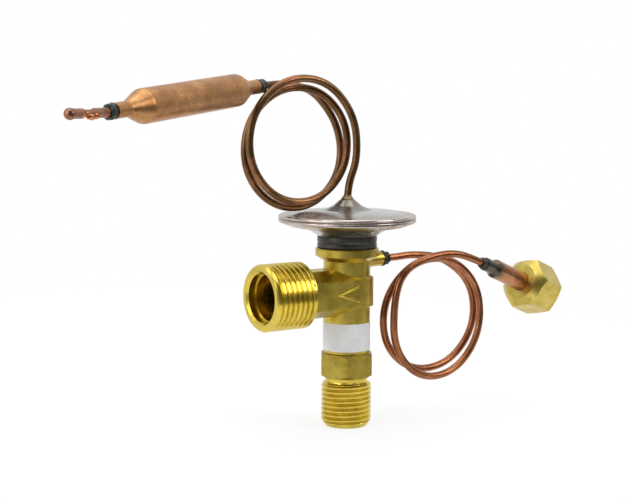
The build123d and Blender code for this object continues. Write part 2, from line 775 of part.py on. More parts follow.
nodes = {
    "inlet_fitting": make_inlet_fitting,
    "inlet_strainer": make_inlet_strainer,
    "adjusting_nut": make_adjusting_nut,
    "spring_seat_washer": make_spring_seat_washer,
    "superheat_spring": make_superheat_spring,
    "ball_carrier": make_ball_carrier,
    "valve_ball": make_valve_ball,
    "valve_seat": make_valve_seat,
    "valve_body": make_valve_body,
    "push_rod": make_push_rod,
    "rod_seal": make_rod_seal,
    "seal_retainer": make_seal_retainer,
    "head_gasket": make_head_gasket,
    "head_collar": make_head_collar,
    "lower_case": make_lower_case,
    "diaphragm": make_diaphragm,
    "upper_case": make_upper_case,
    "thrust_plate": make_thrust_plate,
    "head_braze": make_head_braze,
    "label_band": make_label,
    "capillary_tube": make_capillary_tube,
    "bulb_braze": make_bulb_braze,
    "bulb_shell": make_bulb_shell,
    "fill_braze": make_fill_braze,
    "fill_tube": make_fill_tube,
    "equalizer_braze": make_equalizer_braze,
    "equalizer_tube": make_equalizer_tube,
    "stub_braze": make_stub_braze,
    "equalizer_stub": make_stub,
    "flare_nut": make_flare_nut,
}

for name, make in nodes.items():
    export_step(make(), f"parts/{name}.step")
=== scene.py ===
import math

import bmesh
import bpy
from mathutils import Matrix, Vector, noise


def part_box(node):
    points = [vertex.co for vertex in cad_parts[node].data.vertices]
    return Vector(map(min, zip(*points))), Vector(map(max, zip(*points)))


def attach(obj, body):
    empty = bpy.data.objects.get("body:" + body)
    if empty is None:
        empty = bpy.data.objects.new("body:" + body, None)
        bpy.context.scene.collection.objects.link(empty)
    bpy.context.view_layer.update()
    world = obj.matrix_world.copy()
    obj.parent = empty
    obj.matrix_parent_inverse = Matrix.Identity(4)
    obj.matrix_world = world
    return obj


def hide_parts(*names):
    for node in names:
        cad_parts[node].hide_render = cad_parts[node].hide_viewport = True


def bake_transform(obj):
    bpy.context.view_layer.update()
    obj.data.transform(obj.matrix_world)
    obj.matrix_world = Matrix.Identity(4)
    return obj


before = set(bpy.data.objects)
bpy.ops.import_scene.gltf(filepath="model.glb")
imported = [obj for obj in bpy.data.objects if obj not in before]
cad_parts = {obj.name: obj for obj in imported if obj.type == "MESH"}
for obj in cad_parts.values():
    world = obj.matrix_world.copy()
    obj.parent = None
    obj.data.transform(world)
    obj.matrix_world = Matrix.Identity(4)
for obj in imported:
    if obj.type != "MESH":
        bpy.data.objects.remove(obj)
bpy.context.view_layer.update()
print("frame loaded")

# valve geometry shared by several pieces, in metres
valve = {
    "hexBottom": 0.0159,
    "outletZ": 0.0434,
    "collarTop": 0.0573,
    "bossZ": 0.0529,
    "headCollarTop": 0.0611,
    "diaphragmZ": 0.06665,
    "rimBottom": 0.06685,
    "nozzleTop": 0.07265,
    "tubeRadius": 0.0012,
    "tubeHole": 0.00122,
}


def finishMesh(bm, name, sharpAngle=34):
    for face in bm.faces:
        face.smooth = True
    for edge in bm.edges:
        edge.smooth = edge.calc_face_angle(0) < math.radians(sharpAngle)
    mesh = bpy.data.meshes.new(name)
    bm.to_mesh(mesh)
    bm.free()
    piece = bpy.data.objects.new(name, mesh)
    bpy.context.scene.collection.objects.link(piece)
    return piece


def turnProfile(bm, profile, steps=96, closed=True):
    # profile is a chain of (radius, height) spun about Z
    verts = [bm.verts.new((r, 0, z)) for r, z in profile]
    edges = [bm.edges.new(pair) for pair in zip(verts, verts[1:])]
    if closed:
        edges.append(bm.edges.new((verts[-1], verts[0])))
    bmesh.ops.spin(bm, geom=verts + edges, cent=(0, 0, 0), axis=(0, 0, 1), dvec=(0, 0, 0),
                   angle=math.tau, steps=steps, use_merge=True, use_duplicate=False)
    bmesh.ops.remove_doubles(bm, verts=bm.verts, dist=1e-7)
    bmesh.ops.recalc_face_normals(bm, faces=bm.faces)


def softenRings(bm, offset, segments=3, minAngle=16):
    edges = [e for e in bm.edges if abs(e.calc_face_angle(0)) > math.radians(minAngle)]
    bmesh.ops.bevel(bm, geom=edges, offset=offset, offset_type="OFFSET", segments=segments, profile=0.5,
                    affect="EDGES", material=-1, clamp_overlap=True)


def axisMatrix(start, direction):
    turn = Vector(direction).to_track_quat("Z", "Y").to_matrix().to_4x4()
    return Matrix.Translation(Vector(start)) @ turn


def place(bm, matrix):
    bmesh.ops.transform(bm, matrix=matrix, verts=bm.verts)


def roughen(bm, amount, size, seed=0.0):
    # small lumps, pushed inwards so a piece stays in its own outline
    bm.normal_update()
    for vert in bm.verts:
        lump = noise.noise((vert.co + Vector((seed, 0, 0))) / size)
        vert.co += vert.normal * amount * (lump - 0.6)


def copyNode(node):
    # merged copy of a frame node, ready to be reshaped
    bm = bmesh.new()
    bm.from_mesh(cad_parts[node].data)
    bmesh.ops.remove_doubles(bm, verts=bm.verts, dist=2e-6)
    return bm


def cutAndCap(bm, point, normal, ring=True):
    # removes what is in front of the plane and closes the cut, as a ring round a bore or as a plain face
    geom = list(bm.verts) + list(bm.edges) + list(bm.faces)
    cut = bmesh.ops.bisect_plane(bm, geom=geom, plane_co=point, plane_no=normal, clear_outer=True)
    rim = [e for e in cut["geom_cut"] if isinstance(e, bmesh.types.BMEdge)]
    if ring:
        bmesh.ops.bridge_loops(bm, edges=rim)
    else:
        bmesh.ops.holes_fill(bm, edges=rim, sides=0)
    bmesh.ops.recalc_face_normals(bm, faces=bm.faces)


def joinShells(*shells):
    whole = bmesh.new()
    for shell in shells:
        held = bpy.data.meshes.new("held")
        shell.to_mesh(held)
        shell.free()
        whole.from_mesh(held)
        bpy.data.meshes.remove(held)
    return whole


def threadShell(spec, inside):
    # helical thread from height 0 to the length; limit(z) gives the least and most radius there
    pitch, length = spec["pitch"], spec["length"]
    crest, root = spec["crest"], spec["root"]
    rootShare = 0.06
    flat, flank = spec["crestShare"], (1 - spec["crestShare"] - rootShare) / 2
    rise = rootShare + flank
    shape = [(0.0, root), (rootShare, root), (rise, crest), (rise + flat, crest), (1.0, root)]
    steps, perFlank = spec["steps"], 5
    profile = []
    for (a, ra), (b, rb) in zip(shape, shape[1:]):
        count = perFlank if abs(ra - rb) > 0 else 1
        profile += [(a + (b - a) * i / count, ra + (rb - ra) * i / count) for i in range(count)]
    turns = math.ceil(length / pitch) + 2
    chain = [(r, (turn + at) * pitch - 1.5 * pitch) for turn in range(turns) for at, r in profile]
    bm = bmesh.new()
    verts = [bm.verts.new((r, 0, z)) for r, z in chain]
    edges = [bm.edges.new(pair) for pair in zip(verts, verts[1:])]
    bmesh.ops.spin(bm, geom=verts + edges, cent=(0, 0, 0), axis=(0, 0, 1), dvec=(0, 0, pitch / steps),
                   angle=math.tau, steps=steps, use_merge=False, use_duplicate=False)
    bmesh.ops.remove_doubles(bm, verts=bm.verts, dist=1e-6)
    for height, normal in ((0.0, (0, 0, -1)), (length, (0, 0, 1))):
        geom = list(bm.verts) + list(bm.edges) + list(bm.faces)
        bmesh.ops.bisect_plane(bm, geom=geom, plane_co=(0, 0, height), plane_no=normal, clear_outer=True)
    for vert in bm.verts:
        radius = math.hypot(vert.co.x, vert.co.y)
        low, high = spec["limit"](vert.co.z)
        vert.co.xy *= min(max(radius, low), high) / radius
    # the bore is an ordinary turned wall, joined to the thread at both end faces
    wall = [bm.verts.new((r, 0, z)) for r, z in inside]
    rims = [bm.edges.new(pair) for pair in zip(wall, wall[1:])]
    bmesh.ops.spin(bm, geom=wall + rims, cent=(0, 0, 0), axis=(0, 0, 1), dvec=(0, 0, 0),
                   angle=math.tau, steps=steps, use_merge=True, use_duplicate=False)
    bmesh.ops.remove_doubles(bm, verts=bm.verts, dist=1e-6)
    for height in (0.0, length):
        ends = [e for e in bm.edges if e.is_boundary and all(abs(v.co.z - height) < 2e-6 for v in e.verts)]
        bmesh.ops.bridge_loops(bm, edges=ends)
    bmesh.ops.recalc_face_normals(bm, faces=bm.faces)
    return bm


def tubePiece(name, corners, radius):
    # a smooth curve that touches the middle of each straight run
    curve = bpy.data.curves.new(name, "CURVE")
    curve.dimensions = "3D"
    line = curve.splines.new("NURBS")
    line.points.add(len(corners) - 1)
    for point, corner in zip(line.points, corners):
        point.co = (*corner, 1)
    line.order_u = 3
    line.use_endpoint_u = True
    line.resolution_u = 12
    curve.bevel_depth = radius
    curve.bevel_resolution = 8
    curve.use_fill_caps = True
    held = bpy.data.objects.new(name + "Curve", curve)
    bpy.context.scene.collection.objects.link(held)
    bpy.context.view_layer.update()
    mesh = bpy.data.meshes.new_from_object(held.evaluated_get(bpy.context.evaluated_depsgraph_get()))
    bpy.data.objects.remove(held)
    bm = bmesh.new()
    bm.from_mesh(mesh)
    bpy.data.meshes.remove(mesh)
    bmesh.ops.remove_doubles(bm, verts=bm.verts, dist=1e-7)
    return finishMesh(bm, name)


# materials


def startMaterial(name):
    material = bpy.data.materials.new(name)
    material.use_nodes = True
    tree = material.node_tree
    tree.nodes.clear()
    output = tree.nodes.new("ShaderNodeOutputMaterial")
    shader = tree.nodes.new("ShaderNodeBsdfPrincipled")
    tree.links.new(shader.outputs[0], output.inputs[0])
    return material, tree, shader


def objectCoords(tree, scale=(1, 1, 1), location=(0, 0, 0)):
    coords = tree.nodes.new("ShaderNodeTexCoord")
    mapping = tree.nodes.new("ShaderNodeMapping")
    mapping.inputs["Scale"].default_value = scale
    mapping.inputs["Location"].default_value = location
    tree.links.new(coords.outputs["Object"], mapping.inputs["Vector"])
    return mapping.outputs["Vector"]


def noiseFac(tree, vector, scale, detail=3.0, roughness=0.55):
    node = tree.nodes.new("ShaderNodeTexNoise")
    node.inputs["Scale"].default_value = scale
    node.inputs["Detail"].default_value = detail
    node.inputs["Roughness"].default_value = roughness
    tree.links.new(vector, node.inputs["Vector"])
    return node.outputs["Fac"]


def spread(tree, value, low, high, to=(0.0, 1.0)):
    node = tree.nodes.new("ShaderNodeMapRange")
    node.inputs["From Min"].default_value = low
    node.inputs["From Max"].default_value = high
    node.inputs["To Min"].default_value = to[0]
    node.inputs["To Max"].default_value = to[1]
    tree.links.new(value, node.inputs["Value"])
    return node.outputs["Result"]


def ramp(tree, value, stops):
    node = tree.nodes.new("ShaderNodeValToRGB")
    line = node.color_ramp
    line.elements[0].position, line.elements[0].color = stops[0][0], (*stops[0][1], 1)
    line.elements[1].position, line.elements[1].color = stops[-1][0], (*stops[-1][1], 1)
    for at, colour in stops[1:-1]:
        line.elements.new(at).color = (*colour, 1)
    tree.links.new(value, node.inputs["Fac"])
    return node.outputs["Color"]


def blendColours(tree, value, first, second):
    node = tree.nodes.new("ShaderNodeMix")
    node.data_type = "RGBA"
    for socket, given in ((node.inputs[0], value), (node.inputs[6], first), (node.inputs[7], second)):
        if isinstance(given, (int, float)):
            socket.default_value = given
        elif isinstance(given, tuple):
            socket.default_value = (*given, 1)
        else:
            tree.links.new(given, socket)
    return node.outputs[2]


def calc(tree, kind, first, second=0.0):
    node = tree.nodes.new("ShaderNodeMath")
    node.operation = kind
    for socket, given in zip(node.inputs, (first, second)):
        if isinstance(given, (int, float)):
            socket.default_value = given
        else:
            tree.links.new(given, socket)
    return node.outputs[0]


def addBump(tree, shader, height, strength, distance):
    node = tree.nodes.new("ShaderNodeBump")
    node.inputs["Strength"].default_value = strength
    node.inputs["Distance"].default_value = distance
    tree.links.new(height, node.inputs["Height"])
    tree.links.new(node.outputs["Normal"], shader.inputs["Normal"])


def metalMaterial(name, look):
    # light and dark tones, patchy tarnish, tool marks along one direction and a fine grain
    material, tree, shader = startMaterial(name)
    shader.inputs["Metallic"].default_value = look.get("metallic", 1.0)
    plain = objectCoords(tree)
    marks = objectCoords(tree, scale=look.get("markScale", (1, 1, 1)))
    patches = noiseFac(tree, plain, look["patchScale"], 4.0, 0.6)
    grain = noiseFac(tree, plain, look["grainScale"], 2.0)
    lines = noiseFac(tree, marks, look.get("lineScale", look["grainScale"]), 3.0)
    tone = ramp(tree, patches, [(0.30, look["dark"]), (0.52, look["middle"]), (0.72, look["light"])])
    speck = spread(tree, grain, 0.35, 0.65)
    tone = blendColours(tree, calc(tree, "MULTIPLY", speck, look.get("speckAmount", 0.15)), tone, look["speck"])
    if "stain" in look:
        stained = noiseFac(tree, objectCoords(tree, location=(0.3, 0.1, 0.2)), look["stainScale"], 5.0, 0.65)
        stained = spread(tree, stained, look["stainFrom"], look["stainFrom"] + 0.12, (0.0, look["stainAmount"]))
        tone = blendColours(tree, stained, tone, look["stain"])
    tree.links.new(tone, shader.inputs["Base Color"])
    wear = calc(tree, "ADD", calc(tree, "MULTIPLY", patches, 0.5), calc(tree, "MULTIPLY", lines, 0.5))
    tree.links.new(spread(tree, wear, 0.3, 0.7, look["roughness"]), shader.inputs["Roughness"])
    cutMarks = calc(tree, "MULTIPLY", lines, look.get("lineAmount", 0.5))
    surface = calc(tree, "ADD", cutMarks, calc(tree, "MULTIPLY", grain, look.get("grainAmount", 0.5)))
    addBump(tree, shader, surface, look["bump"], look.get("bumpDistance", 0.00004))
    return material


metalLooks = {
    "forgedBrass": {
        "light": (0.72, 0.56, 0.11), "middle": (0.6, 0.455, 0.075), "dark": (0.44, 0.325, 0.05),
        "speck": (0.36, 0.25, 0.04), "speckAmount": 0.22, "patchScale": 190, "grainScale": 2600,
        "roughness": (0.24, 0.42), "bump": 0.30, "lineAmount": 0.15, "grainAmount": 0.8,
        "stain": (0.34, 0.25, 0.06), "stainScale": 120, "stainFrom": 0.55, "stainAmount": 0.45,
    },
    "turnedBrassUp": {
        "light": (0.8, 0.62, 0.115), "middle": (0.68, 0.52, 0.085), "dark": (0.52, 0.395, 0.06),
        "speck": (0.4, 0.28, 0.05), "speckAmount": 0.12, "patchScale": 170, "grainScale": 2400,
        "markScale": (0.04, 0.04, 1), "lineScale": 5200, "roughness": (0.16, 0.32), "bump": 0.22,
        "lineAmount": 0.9, "grainAmount": 0.2,
    },
    "turnedBrassAcross": {
        "light": (0.8, 0.62, 0.115), "middle": (0.68, 0.52, 0.085), "dark": (0.52, 0.395, 0.06),
        "speck": (0.4, 0.28, 0.05), "speckAmount": 0.12, "patchScale": 170, "grainScale": 2400,
        "markScale": (1, 0.04, 0.04), "lineScale": 5200, "roughness": (0.16, 0.32), "bump": 0.22,
        "lineAmount": 0.9, "grainAmount": 0.2,
    },
    # darker than the turned brass: partly its grained finish, partly painted shade standing in for the dim hex flats
    "hexBrassWithPaintedShade": {
        "light": (0.50, 0.38, 0.075), "middle": (0.40, 0.30, 0.05), "dark": (0.28, 0.205, 0.03),
        "speck": (0.20, 0.15, 0.03), "speckAmount": 0.22, "patchScale": 210, "grainScale": 1900,
        "roughness": (0.22, 0.40), "bump": 0.22, "lineAmount": 0.2, "grainAmount": 0.8,
        "stain": (0.24, 0.18, 0.05), "stainScale": 260, "stainFrom": 0.56, "stainAmount": 0.5,
    },
    "nutBrass": {
        "light": (0.78, 0.62, 0.18), "middle": (0.64, 0.49, 0.11), "dark": (0.46, 0.35, 0.07),
        "speck": (0.34, 0.26, 0.06), "speckAmount": 0.30, "patchScale": 230, "grainScale": 1500,
        "roughness": (0.26, 0.44), "bump": 0.22, "lineAmount": 0.3, "grainAmount": 0.7,
        "stain": (0.30, 0.22, 0.06), "stainScale": 420, "stainFrom": 0.56, "stainAmount": 0.55,
    },
    "innerBrass": {
        "light": (0.66, 0.42, 0.1), "middle": (0.54, 0.32, 0.07), "dark": (0.38, 0.21, 0.05),
        "speck": (0.28, 0.16, 0.04), "patchScale": 200, "grainScale": 2200,
        "roughness": (0.25, 0.42), "bump": 0.2,
    },
    "capillaryCopper": {
        "light": (0.3, 0.165, 0.07), "middle": (0.2, 0.105, 0.042), "dark": (0.11, 0.055, 0.022),
        "speck": (0.08, 0.04, 0.02), "speckAmount": 0.25, "patchScale": 130, "grainScale": 1800,
        "roughness": (0.24, 0.40), "bump": 0.14,
        "stain": (0.42, 0.17, 0.09), "stainScale": 75, "stainFrom": 0.52, "stainAmount": 0.6,
    },
    "equalizerCopper": {
        "light": (0.52, 0.22, 0.1), "middle": (0.37, 0.14, 0.06), "dark": (0.21, 0.075, 0.035),
        "speck": (0.14, 0.05, 0.025), "speckAmount": 0.22, "patchScale": 120, "grainScale": 1800,
        "roughness": (0.22, 0.38), "bump": 0.14,
        "stain": (0.24, 0.10, 0.06), "stainScale": 95, "stainFrom": 0.57, "stainAmount": 0.55,
    },
    "stubCopper": {
        "light": (0.66, 0.31, 0.16), "middle": (0.52, 0.22, 0.1), "dark": (0.31, 0.12, 0.06),
        "speck": (0.2, 0.08, 0.05), "speckAmount": 0.22, "patchScale": 200, "grainScale": 2000,
        "roughness": (0.22, 0.40), "bump": 0.14,
    },
    "bulbCopper": {
        "light": (0.62, 0.34, 0.145), "middle": (0.5, 0.25, 0.095), "dark": (0.36, 0.16, 0.06),
        "speck": (0.27, 0.12, 0.05), "speckAmount": 0.42, "patchScale": 150, "grainScale": 1100,
        "roughness": (0.30, 0.46), "bump": 0.24, "lineAmount": 0.3, "grainAmount": 0.7,
        "stain": (0.33, 0.18, 0.10), "stainScale": 230, "stainFrom": 0.56, "stainAmount": 0.5,
    },
    "fillCopper": {
        "light": (0.48, 0.25, 0.15), "middle": (0.36, 0.17, 0.10), "dark": (0.20, 0.10, 0.07),
        "speck": (0.12, 0.07, 0.05), "speckAmount": 0.30, "patchScale": 330, "grainScale": 1500,
        "roughness": (0.28, 0.46), "bump": 0.3, "stain": (0.62, 0.22, 0.08), "stainScale": 300,
        "stainFrom": 0.54, "stainAmount": 0.75,
    },
    "tintedWeld": {
        "light": (0.46, 0.34, 0.29), "middle": (0.30, 0.21, 0.17), "dark": (0.16, 0.11, 0.09),
        "speck": (0.10, 0.07, 0.05), "speckAmount": 0.25, "patchScale": 260, "grainScale": 2000,
        "roughness": (0.22, 0.40), "bump": 0.3,
    },
    "redDrops": {
        "light": (0.80, 0.34, 0.14), "middle": (0.66, 0.23, 0.09), "dark": (0.40, 0.13, 0.06),
        "speck": (0.20, 0.08, 0.04), "speckAmount": 0.25, "patchScale": 420, "grainScale": 1700,
        "roughness": (0.16, 0.34), "bump": 0.2,
    },
    "sootyBraze": {
        "light": (0.11, 0.125, 0.10), "middle": (0.045, 0.055, 0.045), "dark": (0.015, 0.018, 0.015),
        "speck": (0.012, 0.014, 0.012), "speckAmount": 0.35, "patchScale": 620, "grainScale": 2300,
        "roughness": (0.22, 0.45), "bump": 0.6, "bumpDistance": 0.0001, "metallic": 0.55,
    },
    "paleSolder": {
        "light": (0.32, 0.25, 0.12), "middle": (0.22, 0.165, 0.075), "dark": (0.12, 0.09, 0.04),
        "speck": (0.14, 0.11, 0.06), "patchScale": 600, "grainScale": 2300,
        "roughness": (0.22, 0.4), "bump": 0.4,
    },
    "plainSteel": {
        "light": (0.62, 0.61, 0.59), "middle": (0.52, 0.51, 0.49), "dark": (0.40, 0.39, 0.37),
        "speck": (0.30, 0.29, 0.28), "patchScale": 240, "grainScale": 2600,
        "roughness": (0.18, 0.34), "bump": 0.15,
    },
    "darkCollar": {
        "light": (0.10, 0.095, 0.085), "middle": (0.065, 0.062, 0.055), "dark": (0.035, 0.034, 0.03),
        "speck": (0.02, 0.02, 0.018), "speckAmount": 0.3, "patchScale": 260, "grainScale": 2200,
        "markScale": (0.05, 0.05, 1), "lineScale": 2600, "roughness": (0.3, 0.5), "bump": 0.5,
        "lineAmount": 0.8, "grainAmount": 0.3, "bumpDistance": 0.0001, "metallic": 0.7,
    },
}
looks = {name: metalMaterial(name, look) for name, look in metalLooks.items()}


def headMaterial():
    # pressed stainless with rings of heat colour that follow the distance from the axis; the pale ring just inside
    # the edge is a painted highlight along the rolled rim
    settings = {
        "rings": [(0.0, (0.25, 0.22, 0.16)), (0.18, (0.24, 0.22, 0.19)), (0.33, (0.29, 0.28, 0.25)),
                  (0.40, (0.50, 0.49, 0.46)), (0.66, (0.47, 0.46, 0.43)), (0.78, (0.46, 0.43, 0.39)),
                  (0.86, (0.38, 0.34, 0.28)), (0.92, (0.42, 0.32, 0.22)), (0.965, (0.44, 0.33, 0.29)),
                  # the pale ring at 0.985 is a painted highlight on the rounded rim edge; the rings beside it are
                  # heat colour
                  (0.985, (0.60, 0.55, 0.51)), (1.0, (0.50, 0.42, 0.38))],
        "radius": 0.0220,
    }
    material, tree, shader = startMaterial("heatTintAndPaintedRimHighlight")
    shader.inputs["Metallic"].default_value = 1.0
    flat = objectCoords(tree, scale=(1, 1, 0))
    length = tree.nodes.new("ShaderNodeVectorMath")
    length.operation = "LENGTH"
    tree.links.new(flat, length.inputs[0])
    plain = objectCoords(tree)
    wander = spread(tree, noiseFac(tree, plain, 90, 3.0), 0.3, 0.7, (-0.05, 0.05))
    along = calc(tree, "ADD", calc(tree, "DIVIDE", length.outputs["Value"], settings["radius"]), wander)
    tone = ramp(tree, along, settings["rings"])
    streak = noiseFac(tree, objectCoords(tree, scale=(1, 1, 0.2)), 260, 4.0, 0.6)
    tone = blendColours(tree, spread(tree, streak, 0.45, 0.75, (0.0, 0.35)), tone, (0.30, 0.28, 0.26))
    tree.links.new(tone, shader.inputs["Base Color"])
    tree.links.new(spread(tree, streak, 0.3, 0.7, (0.20, 0.32)), shader.inputs["Roughness"])
    addBump(tree, shader, noiseFac(tree, plain, 900, 3.0), 0.04, 0.00003)
    return material


def paperMaterial():
    material, tree, shader = startMaterial("labelPaper")
    plain = objectCoords(tree)
    cloud = noiseFac(tree, plain, 180, 3.0)
    fibre = noiseFac(tree, plain, 3200, 3.0)
    tone = ramp(tree, cloud, [(0.3, (0.66, 0.67, 0.68)), (0.5, (0.74, 0.74, 0.74)), (0.7, (0.80, 0.79, 0.77))])
    tree.links.new(tone, shader.inputs["Base Color"])
    tree.links.new(spread(tree, fibre, 0.3, 0.7, (0.42, 0.62)), shader.inputs["Roughness"])
    addBump(tree, shader, fibre, 0.12, 0.00003)
    return material


def heatStained(name, start, axis, reach, soot):
    # darkens one of the metal finishes from a brazed end along the tube
    tree = looks[name].node_tree
    shader = next(node for node in tree.nodes if node.type == "BSDF_PRINCIPLED")
    tone = shader.inputs["Base Color"].links[0].from_socket
    along = tree.nodes.new("ShaderNodeVectorMath")
    along.operation = "DOT_PRODUCT"
    along.inputs[1].default_value = axis
    plain = objectCoords(tree, location=tuple(-part for part in start))
    tree.links.new(plain, along.inputs[0])
    wander = spread(tree, noiseFac(tree, plain, 330, 3.0), 0.3, 0.7, (-0.0016, 0.0016))
    at = calc(tree, "ADD", along.outputs["Value"], wander)
    amount = spread(tree, at, reach[0], reach[1], (0.92, 0.0))
    tree.links.new(blendColours(tree, amount, tone, soot), shader.inputs["Base Color"])


def rubberMaterial(name, light, dark):
    material, tree, shader = startMaterial(name)
    plain = objectCoords(tree)
    grain = noiseFac(tree, plain, 1700, 3.0)
    tree.links.new(ramp(tree, grain, [(0.3, dark), (0.7, light)]), shader.inputs["Base Color"])
    tree.links.new(spread(tree, grain, 0.3, 0.7, (0.5, 0.75)), shader.inputs["Roughness"])
    addBump(tree, shader, grain, 0.2, 0.00005)
    return material


looks["heatTintAndPaintedRimHighlight"] = headMaterial()
looks["labelPaper"] = paperMaterial()
looks["sealRubber"] = rubberMaterial("sealRubber", (0.06, 0.06, 0.06), (0.02, 0.02, 0.02))
looks["gasketFibre"] = rubberMaterial("gasketFibre", (0.22, 0.24, 0.22), (0.12, 0.13, 0.12))
print("materials made:", len(looks))


def dress(piece, look, slot, body, *nodes):
    piece.data.materials.clear()
    piece.data.materials.append(looks[look])
    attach(piece, body)
    if nodes:
        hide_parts(*nodes)
    return piece


# inlet fitting with its thread

inlet = {"pitch": 0.0015, "crest": 0.0080, "root": 0.00725, "crestShare": 0.34, "length": 0.0158, "steps": 96,
         "faceRadius": 0.00665, "faceTaper": 0.0019, "threadEnd": 0.0143, "neckRadius": 0.0068,
         "endSlope": 1.6, "boreRadius": 0.0045, "mouthRadius": 0.0057, "mouthDepth": 0.0026, "mouthCone": 0.001,
         "mouthEdge": 0.0003, "overlap": 0.0001, "flatsFrom": 0.0054}


def inletLimit(z):
    start = inlet["faceRadius"] + max(z, 0) * (inlet["crest"] - inlet["faceRadius"]) / inlet["faceTaper"]
    end = inlet["neckRadius"] + max(inlet["threadEnd"] - z, 0) * inlet["endSlope"]
    return 0, min(start, end)


inletInside = [(inlet["boreRadius"], inlet["length"]),
               (inlet["boreRadius"], inlet["mouthDepth"] + inlet["mouthCone"]),
               (inlet["mouthRadius"], inlet["mouthDepth"]), (inlet["mouthRadius"], inlet["mouthEdge"]),
               (inlet["mouthRadius"] + inlet["mouthEdge"], 0)]
inletShaft = threadShell({**inlet, "limit": inletLimit}, inletInside)
inletHex = copyNode("inlet_fitting")
cutAndCap(inletHex, (0, 0, inlet["length"] - inlet["overlap"]), (0, 0, -1))
fitting = dress(finishMesh(joinShells(inletShaft, inletHex), "inletFitting"), "turnedBrassUp", "bright_brass",
                "valve", "inlet_fitting")
# the hex faces get the darker brass, whose darkness is partly painted shade
fitting.data.materials.append(looks["hexBrassWithPaintedShade"])
for face in fitting.data.polygons:
    onHex = face.center.z > valve["hexBottom"] and math.hypot(*face.center.xy) > inlet["flatsFrom"]
    face.material_index = int(onHex)
print("inlet fitting done")


# body with the outlet thread

outlet = {"pitch": 0.001814, "crest": 0.0104775, "root": 0.00975, "crestShare": 0.50, "length": 0.0145, "steps": 120,
          "face": -0.0327, "faceRadius": 0.0098, "ring": 0.0013, "shoulder": 0.0004, "mouthRadius": 0.0077,
          "frontSlope": 0.9, "fadeSlope": 2.5, "mouthEdge": 0.0007, "mouthDepth": 0.0032, "stepRadius": 0.0072,
          "stepDepth": 0.0125, "passageRadius": 0.0055}


def outletLimit(z):
    # a plain chamfered ring, then the thread, which fades out at the back shoulder
    high = min(outlet["faceRadius"] + max(z, 0) * outlet["frontSlope"], outlet["crest"])
    front = high - max(z - outlet["ring"], 0) * outlet["fadeSlope"]
    back = high - max(outlet["length"] - outlet["shoulder"] - z, 0) * outlet["fadeSlope"]
    return max(front, back), high


outletInside = [(outlet["passageRadius"], outlet["length"]),
                (outlet["passageRadius"], outlet["stepDepth"]), (outlet["stepRadius"], outlet["stepDepth"]),
                (outlet["stepRadius"], outlet["mouthDepth"]), (outlet["mouthRadius"], outlet["mouthDepth"]),
                (outlet["mouthRadius"], outlet["mouthEdge"]), (outlet["mouthRadius"] + outlet["mouthEdge"], 0)]
outletShell = threadShell({**outlet, "limit": outletLimit}, outletInside)
place(outletShell, axisMatrix((outlet["face"], 0, valve["outletZ"]), (1, 0, 0)))
bodyCasting = copyNode("valve_body")
cutAndCap(bodyCasting, (outlet["face"] + outlet["length"] + 1e-5, 0, valve["outletZ"]), (-1, 0, 0))
arrow = {"face": -0.00870, "edge": 0.0003, "halfHeight": 0.004}
arrowEdges = [e for e in bodyCasting.edges if e.calc_face_angle(0) > 1
              and all(v.co.y < arrow["face"] and v.co.x < 0
                      and abs(v.co.z - valve["outletZ"]) < arrow["halfHeight"] for v in e.verts)]
bmesh.ops.bevel(bodyCasting, geom=arrowEdges, offset=arrow["edge"], offset_type="OFFSET", segments=3, profile=0.5,
                affect="EDGES", material=-1, clamp_overlap=True)
print("arrow edges softened:", len(arrowEdges))
dress(finishMesh(outletShell, "outletThread"), "turnedBrassAcross", "machined_brass", "valve")
castPart = finishMesh(bodyCasting, "bodyCasting")
dress(castPart, "forgedBrass", "machined_brass", "valve")
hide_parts("valve_body")
print("valve body done")


# diaphragm head

head = {"radius": 0.02185, "flangeInner": 0.01925, "knee": (0.01575, 0.06873), "nozzleRoot": (0.0076, 0.06925),
        "waist": (0.0044, 0.07068), "nozzleTip": 0.0022, "edge": 0.00030, "neck": 0.0095,
        "lip": 0.0060, "rim": 0.0011, "roll": 0.00075}
rimBottom, nozzleTop, baseZ = valve["rimBottom"], valve["nozzleTop"], valve["headCollarTop"]
rimTop = rimBottom + head["rim"]
rimArc = [(head["radius"] - head["roll"] * (1 - math.cos(a)), rimTop - head["roll"] * (1 - math.sin(a)))
          for a in (math.pi * step / 16 for step in range(9))]
upperProfile = [
    (head["radius"], rimBottom + 0.00004), *rimArc, (head["flangeInner"], rimTop),
    head["knee"], head["nozzleRoot"], head["waist"], (head["nozzleTip"], nozzleTop),
    (valve["tubeHole"], nozzleTop), (valve["tubeHole"], nozzleTop - 0.0023), (0.0034, rimBottom + 0.0026),
    (0.0070, rimBottom + 0.0014), (0.0156, rimBottom + 0.0008), (0.0186, rimBottom + 0.00004)]
upperShell = bmesh.new()
turnProfile(upperShell, upperProfile, 144)
softenRings(upperShell, head["edge"], 3, 12)
dress(finishMesh(upperShell, "upperCase", 50), "heatTintAndPaintedRimHighlight", "stainless_head", "valve", "upper_case")

lowerTop = valve["diaphragmZ"]
lowerProfile = [
    (head["lip"], baseZ), (head["neck"], baseZ), (0.0110, baseZ + 0.0011), (0.0130, baseZ + 0.0023),
    (0.0183, baseZ + 0.0031), (0.0206, baseZ + 0.0040), (head["radius"], lowerTop - 0.0011),
    (head["radius"], lowerTop - 0.00004), (0.0190, lowerTop - 0.00004), (0.0176, baseZ + 0.0042),
    (0.0124, baseZ + 0.0033), (0.0104, baseZ + 0.0021), (head["lip"], baseZ + 0.0010)]
lowerShell = bmesh.new()
turnProfile(lowerShell, lowerProfile, 144)
softenRings(lowerShell, head["edge"], 3, 12)
dress(finishMesh(lowerShell, "lowerCase", 50), "heatTintAndPaintedRimHighlight", "stainless_head", "valve", "lower_case")

